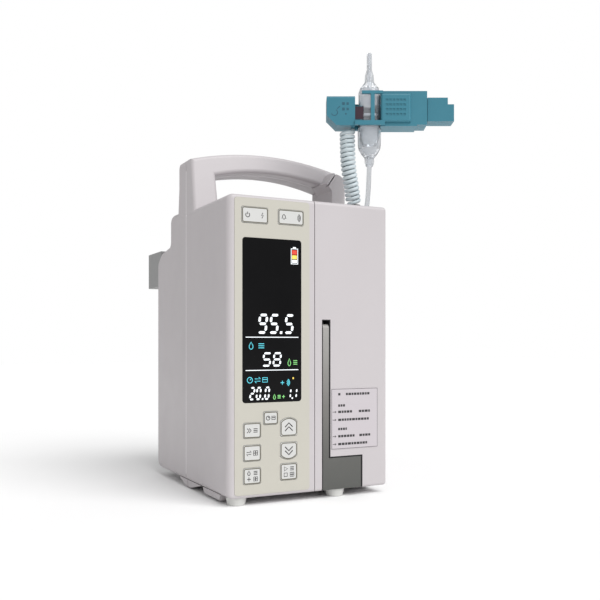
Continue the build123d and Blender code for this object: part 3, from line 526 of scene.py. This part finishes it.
def strokes(name, lines, width, y_face, body, slot, material):
    """Printed lines: each is (points in x and z, closed), drawn flat on a face that looks to -Y."""
    data = bpy.data.curves.new(name, "CURVE")
    data.dimensions = "3D"
    data.bevel_depth = width / 2
    data.bevel_resolution = 2
    for points, closed in lines:
        spline = data.splines.new("POLY")
        spline.points.add(len(points) - 1)
        for target, (x, z) in zip(spline.points, points):
            target.co = (x, 0, z, 1)
        spline.use_cyclic_u = closed
    probe = bpy.data.objects.new(name, data)
    mesh = bpy.data.meshes.new_from_object(probe)
    bpy.data.objects.remove(probe)
    bpy.data.curves.remove(data)
    flatten = PRINT_T / (width / 2)
    for vertex in mesh.vertices:
        vertex.co.y = y_face + vertex.co.y * flatten
    mesh.name = name
    return link(name, mesh, body, slot, material)


def arc(cx, cz, r, start, end, steps=10):
    """Points on an arc about cx, cz, between two angles in degrees."""
    turns = [radians(start + (end - start) * i / steps) for i in range(steps + 1)]
    return [(cx + r * cos(a), cz + r * sin(a)) for a in turns]


# Icons in a unit square centred on 0; each is a list of (points, closed).
ICONS = {
    "power": [(arc(0, -0.05, 0.4, 125, 415), False), ([(0, 0.05), (0, 0.5)], False)],
    "bolt": [([(0.12, 0.5), (-0.22, -0.02), (0.2, 0.04), (-0.1, -0.5)], False)],
    "bell": [([(-0.42, -0.25), (-0.3, -0.05), (-0.26, 0.25), (-0.1, 0.42), (0.1, 0.42),
               (0.26, 0.25), (0.3, -0.05), (0.42, -0.25)], True),
             ([(-0.1, -0.42), (0.1, -0.42)], False)],
    "waves": [(arc(-0.3, 0, 0.3, -60, 60, 5), False), (arc(-0.3, 0, 0.55, -60, 60, 6), False),
              (arc(-0.3, 0, 0.8, -60, 60, 7), False)],
    "dial": [(arc(0, 0, 0.42, 0, 330, 12), True), ([(0, 0), (0.22, 0.22)], False)],
    "frame": [([(-0.4, -0.35), (0.4, -0.35), (0.4, 0.35), (-0.4, 0.35)], True),
              ([(-0.4, 0.05), (0.4, 0.05)], False)],
    "right": [([(-0.35, 0.4), (0.05, 0), (-0.35, -0.4)], False),
              ([(0.05, 0.4), (0.45, 0), (0.05, -0.4)], False)],
    "bars": [([(-0.4, 0.3), (0.4, 0.3)], False), ([(-0.4, 0), (0.4, 0)], False),
             ([(-0.4, -0.3), (0.4, -0.3)], False)],
    "swap": [([(-0.45, 0.18), (0.45, 0.18), (0.2, 0.45)], False),
             ([(0.45, -0.18), (-0.45, -0.18), (-0.2, -0.45)], False)],
    "drop": [([(0, 0.48), (-0.26, 0.02), (-0.26, -0.22), (-0.1, -0.42), (0.1, -0.42),
               (0.26, -0.22), (0.26, 0.02)], True)],
    "play": [([(-0.3, 0.4), (0.4, 0), (-0.3, -0.4)], True)],
    "stop": [([(-0.34, -0.34), (0.34, -0.34), (0.34, 0.34), (-0.34, 0.34)], True)],
    "plus": [([(-0.4, 0), (0.4, 0)], False), ([(0, -0.4), (0, 0.4)], False)],
    "grid": [([(-0.4, -0.4), (0.4, -0.4), (0.4, 0.4), (-0.4, 0.4)], True),
             ([(0, -0.4), (0, 0.4)], False), ([(-0.4, 0), (0.4, 0)], False)],
    "up": [([(-0.42, -0.02), (0, 0.4), (0.42, -0.02)], False),
           ([(-0.42, -0.42), (0, 0), (0.42, -0.42)], False)],
    "down": [([(-0.42, 0.42), (0, 0), (0.42, 0.42)], False),
             ([(-0.42, 0.02), (0, -0.4), (0.42, 0.02)], False)],
}


def icon(kind, cx, cz, width, height):
    """An icon's lines, scaled and centred on cx, cz."""
    return [([(cx + x * width, cz + z * height) for x, z in points], closed)
            for points, closed in ICONS[kind]]


# ---------------------------------------------------------------- key prints
# key: icons, and how many columns they stand in
KEY_ICONS = {
    "power_key": (("power", "bolt"), 2), "alarm_key": (("bell", "waves"), 2),
    "mode_key": (("dial", "frame"), 2), "fast_key": (("right", "bars"), 2),
    "select_key": (("swap", "grid"), 2), "drop_rate_key": (("drop", "bars", "plus", "grid"), 2),
    "start_stop_key": (("play", "bars", "stop", "grid"), 2),
    "up_key": (("up",), 1), "down_key": (("down",), 1),
}
ARROW_KEYS = ("up_key", "down_key")
ARROW_RISE, ARROW_STEPS = 0.003, 12          # how far an arrow key bulges; points on the bulge
RING_INSET, RING_CORNER, RING_WIDTH = 0.0006, 0.0013, 0.00075
ARROW_WIDTH, ARROW_HEIGHT, ARROW_LINE = 0.0078, 0.0075, 0.0009
ICON_SIZE, ICON_LINE, ROW_SHIFT = 0.0042, 0.00062, 0.0023
WIDE_KEY = 0.016                             # a key wider than this has its columns further apart


def key_outline(name, lo, hi, inset, r):
    """The key's edge in x and z, moved inwards; the arrow keys bulge on one side."""
    x0, x1, z0, z1 = lo.x + inset, hi.x - inset, lo.z + inset, hi.z - inset
    if name not in ARROW_KEYS:
        return rounded_rectangle(x0, x1, z0, z1, r)
    half = (x1 - x0) / 2
    bow = (half ** 2 + ARROW_RISE ** 2) / (2 * ARROW_RISE)
    middle, widest = (x0 + x1) / 2, asin(half / bow)
    turns = [widest * (1 - 2 * i / ARROW_STEPS) for i in range(ARROW_STEPS + 1)]
    if name == "up_key":
        crown = [(middle + bow * sin(a), z1 - bow + bow * cos(a)) for a in turns]
        return crown + [(x0, z0 + r), (x0 + r, z0), (x1 - r, z0), (x1, z0 + r)]
    crown = [(middle - bow * sin(a), z0 + bow - bow * cos(a)) for a in turns]
    return crown + [(x1, z1 - r), (x1 - r, z1), (x0 + r, z1), (x0, z1 - r)]


def make_key_prints():
    """An outline and its icons on each key."""
    for name, (kinds, columns) in KEY_ICONS.items():
        lo, hi = corners(name)
        face = lo.y - PRINT_T / 6
        ring = key_outline(name, lo, hi, RING_INSET, RING_CORNER)
        strokes(name + "_outline", [(ring, True)], RING_WIDTH, face, name, "key", "olive_ink")
        width, height = hi.x - lo.x, hi.z - lo.z
        middle_x, middle_z = (lo.x + hi.x) / 2, (lo.z + hi.z) / 2
        rows = (len(kinds) + columns - 1) // columns
        if columns == 1:
            lines = icon(kinds[0], middle_x, middle_z, ARROW_WIDTH, ARROW_HEIGHT)
        else:
            size = min(ICON_SIZE, 0.30 * width, 0.62 * height / rows)
            gap = 0.28 * width if width > WIDE_KEY else 0.19 * width
            lines = []
            for i, kind in enumerate(kinds):
                x = middle_x + gap * (1 if i % columns else -1)
                z = middle_z + (0.0 if rows == 1 else ROW_SHIFT * (1 if i < columns else -1))
                lines += icon(kind, x, z, size, size)
        line_width = ARROW_LINE if columns == 1 else ICON_LINE
        strokes(name + "_icon", lines, line_width, face, name, "key", "dark_ink")


make_key_prints()


# ---------------------------------------------------------------- display
SEGMENTS = {"0": "abcdef", "1": "bc", "2": "abged", "5": "afgcd", "8": "abcdefg", "9": "abcdfg"}
SLANT = 0.11                        # how far a digit leans, as a share of its height
DIGIT_FILL, DOT_CELL = 0.82, 0.35   # a digit's share of its cell, and a point's cell
# all in mm. numbers: text, left, right, bottom, top, width of a bar
DISPLAY_NUMBERS = {
    "digits_total": ("95.5", -47.0, -14.8, 131.2, 146.6, 2.0),
    "digits_given": ("58", -43.0, -25.5, 106.0, 117.0, 1.5),
    "digits_rate": ("20.0", -53.7, -36.0, 80.6, 90.7, 1.35),
    "digits_speed": ("1.1", -21.5, -12.6, 80.6, 89.4, 1.2),
}
# bars: material, then left, right, bottom and top of each
DISPLAY_BARS = {
    "display_lines": ("white_glow", (-56.5, -11.7, 128.3, 128.9), (-56.5, -11.7, 103.0, 103.6)),
}
DISPLAY_MARKS = {
    "display_mark": ("yellow_glow", (-16.8, -15.6, 96.0, 97.4)),
    "battery_frame": ("white_glow", (-18.2, -12.0, 197.4, 197.9), (-18.2, -17.7, 186.0, 197.4),
                      (-12.5, -12.0, 186.0, 197.4), (-18.2, -12.0, 185.6, 186.1),
                      (-16.4, -13.8, 197.9, 199.0)),
    "battery_red": ("red_glow", (-17.2, -13.0, 193.2, 196.6)),
    "battery_yellow": ("yellow_glow", (-17.2, -13.0, 189.6, 192.6)),
    "battery_white": ("white_glow", (-17.2, -13.0, 186.7, 189.0)),
}
# icons: material, width of their lines, then kind, middle, width and height of each
DISPLAY_ICONS = {
    "display_labels": ("cyan_glow", 0.55, (
        ("drop", -52.0, 122.0, 6, 6), ("bars", -43.5, 122.0, 6, 5.2),
        ("dial", -53.0, 95.9, 5.2, 5.2), ("swap", -46.6, 95.9, 5.2, 5),
        ("frame", -40.4, 95.9, 5, 5), ("plus", -25.6, 93.4, 3.8, 3.8),
        ("waves", -21.2, 93.4, 3.8, 3.8))),
    "display_units": ("green_glow", 0.6, (
        ("drop", -19.6, 109.0, 4.4, 6), ("bars", -14.4, 109.0, 4.2, 4.6),
        ("drop", -32.4, 82.6, 3.2, 4.2), ("bars", -28.4, 82.6, 3.2, 3.4),
        ("plus", -24.6, 82.6, 3.0, 3.2))),
}


def segment_shapes(x, z, w, h, t):
    """Seven bars of a digit whose lower left corner is x, z."""
    half, k = h / 2, t * 0.55

    def level(zc):
        return [(x + k, zc), (x + t, zc + t / 2), (x + w - t, zc + t / 2), (x + w - k, zc),
                (x + w - t, zc - t / 2), (x + t, zc - t / 2)]

    def upright(xc, z0, z1):
        return [(xc, z0 + k), (xc + t / 2, z0 + t), (xc + t / 2, z1 - t), (xc, z1 - k),
                (xc - t / 2, z1 - t), (xc - t / 2, z0 + t)]

    left, right = x + t / 2, x + w - t / 2
    low, high, middle = z + t / 2, z + h - t / 2, z + half
    return {"a": level(high), "g": level(middle), "d": level(low),
            "f": upright(left, middle, high), "b": upright(right, middle, high),
            "e": upright(left, low, middle), "c": upright(right, low, middle)}


def plates(name, outlines, y_face, body, slot, material):
    """Thin printed or lit shapes, from outlines in mm, on a face that looks to -Y."""
    bm = bmesh.new()
    for outline in outlines:
        extrude_outline(bm, [(x * MM, z * MM) for x, z in outline], y_face, PRINT_T)
    link(name, finish_bmesh(bm, name), body, slot, material)


def number(text, x0, x1, z0, z1, t):
    """Outlines of a number that fills the box; digits lean a little to the right."""
    count = sum(1 for c in text if c != ".")
    dots = text.count(".")
    cell = (x1 - x0) / (count + DOT_CELL * dots)
    x, shapes = x0, []
    for c in text:
        if c == ".":
            shapes.append([(x, z0), (x + t, z0), (x + t, z0 + t), (x, z0 + t)])
            x += DOT_CELL * cell
            continue
        bars = segment_shapes(x, z0, cell * DIGIT_FILL, z1 - z0, t)
        shapes += [bars[s] for s in SEGMENTS[c]]
        x += cell
    return [[(px + SLANT * (pz - z0), pz) for px, pz in shape] for shape in shapes]


def bar(x0, x1, z0, z1):
    """Outline of an upright rectangle."""
    return [(x0, z0), (x1, z0), (x1, z1), (x0, z1)]


def make_display():
    """Lit digits, lines and pictograms on the display."""
    face = WINDOW_FACE_Y - PRINT_T / 2

    def show(name, outlines, material):
        plates(name, outlines, face, "pump_body", "display", material)

    def show_bars(table):
        for name, (material, *bars) in table.items():
            show(name, [bar(*edges) for edges in bars], material)

    for name, places in DISPLAY_NUMBERS.items():
        show(name, number(*places), "white_glow")
    show_bars(DISPLAY_BARS)
    for name, (material, width, icons) in DISPLAY_ICONS.items():
        lines = []
        for kind, *place in icons:
            lines += icon(kind, *[v * MM for v in place])
        strokes(name, lines, width * MM, face, "pump_body", "display", material)
    show_bars(DISPLAY_MARKS)


make_display()


# ---------------------------------------------------------------- label on the door
# each row: height, then the start and end of its printed runs; arrows mark four of the rows
LABEL_ROWS = (
    (82.9, ((24.3, 26.6), (31.5, 54.0))), (73.8, ((24.3, 30.6),)),
    (68.7, ((24.3, 37.2), (43.6, 54.6))), (62.3, ((24.3, 53.2),)), (54.9, ((24.3, 32.4),)),
    (49.1, ((24.3, 39.6), (44.2, 54.6))), (42.8, ((24.3, 52.6),)),
)
ARROW_ROWS = (68.7, 62.3, 49.1, 42.8)
ARROW_LEFT, ARROW_RIGHT, ARROW_BARB, ARROW_HALF = 19.2, 22.4, 21.2, 0.8
WORD_WIDTHS, WORD_GAP, WORD_HALF = (1.6, 3.0), 0.5, 0.95
LABEL_LINE, LABEL_INSET, LABEL_ARROW = 0.0004, 0.0004, 0.00042   # in metres


def make_label():
    """A frame, plain bars in place of words, and arrows."""
    lo, hi = corners("door_label")
    face = lo.y - PRINT_T / 2
    frame_line = bar(lo.x + LABEL_INSET, hi.x - LABEL_INSET,
                     lo.z + LABEL_INSET, hi.z - LABEL_INSET)
    strokes("label_frame", [(frame_line, True)], LABEL_LINE, face, "door", "label", "dark_ink")
    rng = Random(7)
    words = []
    for z, spans in LABEL_ROWS:
        for start, end in spans:
            x = start
            while x < end - 1.0:
                width = min(rng.uniform(*WORD_WIDTHS), end - x)
                words.append(bar(x, x + width, z - WORD_HALF, z + WORD_HALF))
                x += width + WORD_GAP
    plates("label_words", words, face, "door", "label", "dark_ink")
    arrows = []
    for z in ARROW_ROWS:
        arrows.append([(ARROW_LEFT, z), (ARROW_RIGHT, z)])
        arrows.append([(ARROW_BARB, z + ARROW_HALF), (ARROW_RIGHT, z), (ARROW_BARB, z - ARROW_HALF)])
    lines = [([(x * MM, z * MM) for x, z in points], False) for points in arrows]
    strokes("label_arrows", lines, LABEL_ARROW, face, "door", "label", "dark_ink")


make_label()


# ---------------------------------------------------------------- drip chamber contents
# profiles as (radius, height) from bottom to top
FLUID_LEVEL, MENISCUS = 0.3165, 0.0006
FLUID = ((0, 0.2915), (0.0058, 0.2915), (0.0078, 0.2945), (0.0078, FLUID_LEVEL),
         (0.0070, FLUID_LEVEL - 0.0004), (0, FLUID_LEVEL - MENISCUS))
NOZZLE = ((0, 0.3330), (0.0007, 0.3330), (0.0010, 0.3345), (0.0021, 0.3382), (0, 0.3382))
DROP = ((0, 0.3262), (0.0012, 0.3268), (0.0016, 0.3280), (0.0010, 0.3296), (0, 0.3310))


def lathe(name, profile, material, steps=48):
    """Solid of revolution about the chamber's axis, inside the clear chamber."""
    x, y = CHAMBER_AXIS
    bm = bmesh.new()
    rings = []
    for r, z in profile:
        if r == 0:
            rings.append([bm.verts.new((x, y, z))])
            continue
        turns = [2 * pi * i / steps for i in range(steps)]
        rings.append([bm.verts.new((x + r * cos(a), y + r * sin(a), z)) for a in turns])
    for low, high in zip(rings, rings[1:]):
        for i in range(steps):
            j = (i + 1) % steps
            corner = [low[i % len(low)], low[j % len(low)], high[j % len(high)], high[i % len(high)]]
            bm.faces.new(list(dict.fromkeys(corner)))
    piece = link(name, finish_bmesh(bm, name), "pump_body", "clear", material)
    smooth(piece)


def make_chamber_contents():
    """The fluid, the nozzle above it and one falling drop."""
    lathe("chamber_fluid", FLUID, "fluid")
    lathe("drop_nozzle", NOZZLE, "clear")
    lathe("falling_drop", DROP, "fluid", 20)


make_chamber_contents()


def make_platen_coils():
    """A copy of the platen's springs that rides on the door."""
    node = NODES["platen_springs"]
    mesh = node.data.copy()
    mesh.transform(node.matrix_world)
    piece = link("platen_coils", mesh, "door", "spring_steel")
    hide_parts("platen_springs")
    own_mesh(piece)


make_platen_coils()


# ---------------------------------------------------------------- painted highlight strip in the side's parting line
def arc_through(a, b, c, steps=24):
    """Points on the circle through three (x, z) points, from a to c."""
    d = 2 * (a[0] * (b[1] - c[1]) + b[0] * (c[1] - a[1]) + c[0] * (a[1] - b[1]))
    sq = [p[0] ** 2 + p[1] ** 2 for p in (a, b, c)]
    x = (sq[0] * (b[1] - c[1]) + sq[1] * (c[1] - a[1]) + sq[2] * (a[1] - b[1])) / d
    z = (sq[0] * (c[0] - b[0]) + sq[1] * (a[0] - c[0]) + sq[2] * (b[0] - a[0])) / d
    r = ((a[0] - x) ** 2 + (a[1] - z) ** 2) ** 0.5
    start, end = atan2(a[1] - z, a[0] - x), atan2(c[1] - z, c[0] - x)
    angles = [start + (end - start) * i / steps for i in range(steps + 1)]
    return [(x + r * cos(t), z + r * sin(t)) for t in angles]


# the opening under the grip, in x and z: its ends and middle, and the feet of its two sides
OPENING_ARC = ((0.061, 0.265), (0.0, 0.2735), (-0.0496, 0.2668))
OPENING_RIGHT_X, OPENING_LEFT_X, OPENING_FOOT_Z = 0.0602, -0.0481, 0.2405
HIGHLIGHT_HALF, HIGHLIGHT_DEPTH = 0.00045, 0.0005      # half its width, and how far it reaches inwards
HIGHLIGHT_GAP, HIGHLIGHT_BAND = 0.00002, 0.00014       # its face inside the housing's; its band's far edge
HIGHLIGHT_START, HIGHLIGHT_TOP = 0.006, 0.271          # above the casing's base; height of its top


def make_seam_painted_highlight():
    """Painted highlight: a light strip along the parting line, on both sides and round the opening of
    the handle.
    """
    y0, y1 = SEAM_Y - HIGHLIGHT_HALF, SEAM_Y + HIGHLIGHT_HALF
    left, right = BODY_LO.x, BODY_HI.x
    bm = bmesh.new()
    for x0, x1 in ((left + HIGHLIGHT_GAP, left + HIGHLIGHT_DEPTH), (right - HIGHLIGHT_DEPTH, right - HIGHLIGHT_GAP)):
        box_between(bm, (x0, y0, BASE_Z + HIGHLIGHT_START), (x1, y1, HIGHLIGHT_TOP))
    bands = []
    for gap in (HIGHLIGHT_GAP, HIGHLIGHT_BAND):
        # the two ends move inwards and down, the middle only down
        shifts = (-gap, 0.0, gap)
        arch = arc_through(*[(x + shift, z - gap) for (x, z), shift in zip(OPENING_ARC, shifts)])
        bands.append([(OPENING_RIGHT_X - gap, OPENING_FOOT_Z), *arch,
                      (OPENING_LEFT_X + gap, OPENING_FOOT_Z)])
    inner, outer = bands
    for k in range(len(inner) - 1):
        outline = [inner[k], inner[k + 1], outer[k + 1], outer[k]]
        extrude_outline(bm, outline, y0, 2 * HIGHLIGHT_HALF)
    link("seam_painted_highlight", finish_bmesh(bm, "seam_painted_highlight"), "pump_body", "housing", "painted_highlight")


make_seam_painted_highlight()


# ---------------------------------------------------------------- windows and marks on the sensor
SENSOR_TURN = radians(-27.1)        # how far the sensor is turned about the chamber
# dark plates, as low and high corners in mm: an infrared window on the emitter, and three lining the
# cavity behind the chamber as painted shade
SENSOR_WINDOW_AND_SHADE = (
    ((-12.8, -8.06, 311.5), (-5.7, -7.9, 322.0)),
    ((-12.4, 10.15, 311.5), (11.6, 11.15, 326.5)),
    ((-12.4, 9.02, 311.5), (-9.4, 10.15, 326.5)),
    ((9.4, 9.02, 311.5), (11.6, 10.15, 326.5)),
)


# marks on the left block, in the sensor's own plane, in metres
MARKS_FACE_Y, MARKS_LINE, MARKS_ICON = -0.0110, 0.0006, 0.0024
MARK_COLUMNS = {"grid": -0.0225, "bars": -0.0190}
MARK_ROWS = (0.3235, 0.3190)
MARK_DIAL = arc(-0.0300, 0.3162, 0.0026, 200, 420, 10)
MARK_HAND = [(-0.0278, 0.3190), (-0.0255, 0.3215)]
MARK_DOT = arc(-0.0205, 0.3150, 0.0004, 0, 330, 8)


def sensor_turn():
    """From the sensor's own turned plane, centred on the chamber, to the shared frame."""
    return Matrix.Translation((*CHAMBER_AXIS, 0)) @ Matrix.Rotation(SENSOR_TURN, 4, "Z")


def make_sensor_window_and_shade():
    """Dark plates: a window in front of the infrared emitter, and painted shade lining the cavity
    behind the chamber.
    """
    bm = bmesh.new()
    for lo, hi in SENSOR_WINDOW_AND_SHADE:
        box_between(bm, [v * MM for v in lo], [v * MM for v in hi])
    piece = link("sensor_window_and_shade", finish_bmesh(bm, "sensor_window_and_shade"), "pump_body",
                 "dark_plastic", "window")
    piece.data.transform(sensor_turn())


def make_sensor_marks():
    """Generic marks on the sensor's left block."""
    lines = [(MARK_DIAL, False), (MARK_HAND, False)]
    for kind, x in MARK_COLUMNS.items():
        for z in MARK_ROWS:
            lines += icon(kind, x, z, MARKS_ICON, MARKS_ICON)
    lines.append((MARK_DOT, True))
    piece = strokes("sensor_marks", lines, MARKS_LINE, MARKS_FACE_Y, "pump_body", "teal",
                    "teal_ink")
    piece.data.transform(sensor_turn())


make_sensor_window_and_shade()
make_sensor_marks()


# ---------------------------------------------------------------- edges of the CAD nodes
EDGE_R = 0.0004
SOFT_EDGED = ("latch_lever", "sensor_slider", "clamp_body", "clamp_pad", "battery_cover",
              "mains_inlet")


def soften_edges():
    """Small rounded edges on the moulded parts."""
    for name in SOFT_EDGED:
        modifier = NODES[name].modifiers.new("bevel", "BEVEL")
        modifier.width = EDGE_R
        modifier.segments = 2
        modifier.limit_method = "ANGLE"
        modifier.angle_limit = radians(50)
        modifier.harden_normals = False


soften_edges()


# ---------------------------------------------------------------- studio
ROOM_LIGHT, ROOM_SEEN = 0.56, 1.0   # the white room as it lights the part, and as it is seen
SUN_ENERGY, SUN_ANGLE = 2.45, radians(50)
SUN_TOWARDS = Vector((-0.22, 0.75, -0.84))
FLOOR_HALF = 4                      # in metres
PAPER = [(LOW, (0.90, 0.90, 0.90)), (HIGH, (0.93, 0.93, 0.93))]


def make_room():
    """A white room that lights the part a little less than it shows."""
    world = bpy.data.worlds.new("studio")
    bpy.context.scene.world = world
    world.use_nodes = True
    tree = world.node_tree
    background = tree.nodes["Background"]
    seen = add(tree, "ShaderNodeLightPath")
    level = add(tree, "ShaderNodeMapRange")
    level.inputs["To Min"].default_value = ROOM_LIGHT
    level.inputs["To Max"].default_value = ROOM_SEEN
    tree.links.new(seen.outputs["Is Camera Ray"], level.inputs["Value"])
    tree.links.new(level.outputs["Result"], background.inputs["Strength"])
    background.inputs["Color"].default_value = (1, 1, 1, 1)


def make_sun():
    """One broad, soft key light from the front, above and to the right."""
    data = bpy.data.lights.new("key", "SUN")
    data.energy = SUN_ENERGY
    data.angle = SUN_ANGLE
    key = bpy.data.objects.new("key", data)
    bpy.context.scene.collection.objects.link(key)
    key.rotation_euler = SUN_TOWARDS.to_track_quat("-Z", "Y").to_euler()


def make_floor():
    """A white paper floor."""
    bm = bmesh.new()
    bmesh.ops.create_grid(bm, x_segments=8, y_segments=8, size=FLOOR_HALF)
    mesh = finish_bmesh(bm, "floor")
    floor = bpy.data.objects.new("floor", mesh)
    bpy.context.scene.collection.objects.link(floor)
    material, tree, shader = new_material("floor_paper")
    paper = ramp(tree, noise(tree, 3, 3), PAPER)
    tree.links.new(paper, shader.inputs["Base Color"])
    shader.inputs["Roughness"].default_value = 0.9
    shader.inputs["Specular IOR Level"].default_value = 0.1
    mesh.materials.append(material)


bpy.context.scene.view_settings.view_transform = "Standard"
make_room()
make_sun()
make_floor()
